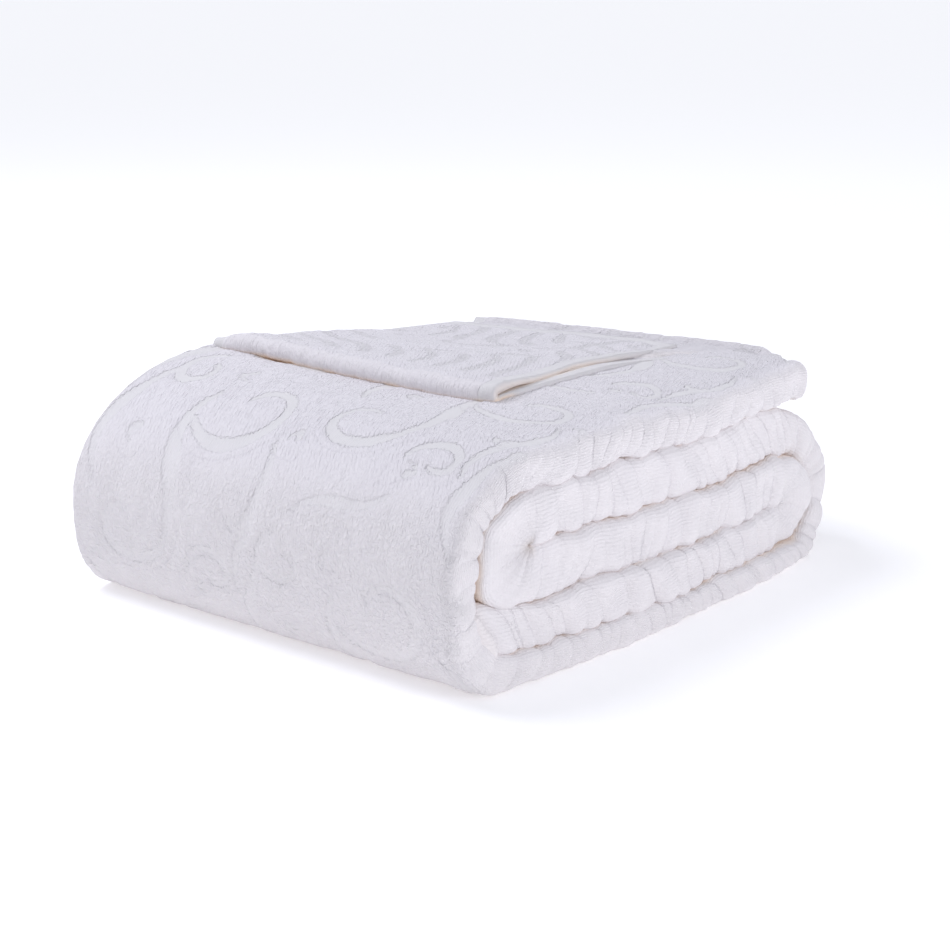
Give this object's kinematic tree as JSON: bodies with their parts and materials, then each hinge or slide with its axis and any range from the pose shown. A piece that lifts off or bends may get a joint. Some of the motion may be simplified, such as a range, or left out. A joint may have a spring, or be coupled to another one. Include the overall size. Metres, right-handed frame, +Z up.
{
  "type": "folded bedspread",
  "caption": "White terry bedspread folded into a low rectangular stack, with one fat rolled edge, coiled layers and a turned-back hemmed flap on top.",
  "frame": {"origin": "middle of the footprint, on the surface that it lies on", "axes": "+Z up; +Y from the fat rolled edge to the far side with the hems; +X from the front bulge to the far end, the stack's longer side"},
  "size_m": [0.5008, 0.3948, 0.1795],
  "materials": {
    "white_terry": "white cotton terry, looped pile with a sculpted scroll relief in lower pile, matt"
  },
  "bodies": {
    "root": {"bedspread": "white_terry"}
  },
  "joints": []
}
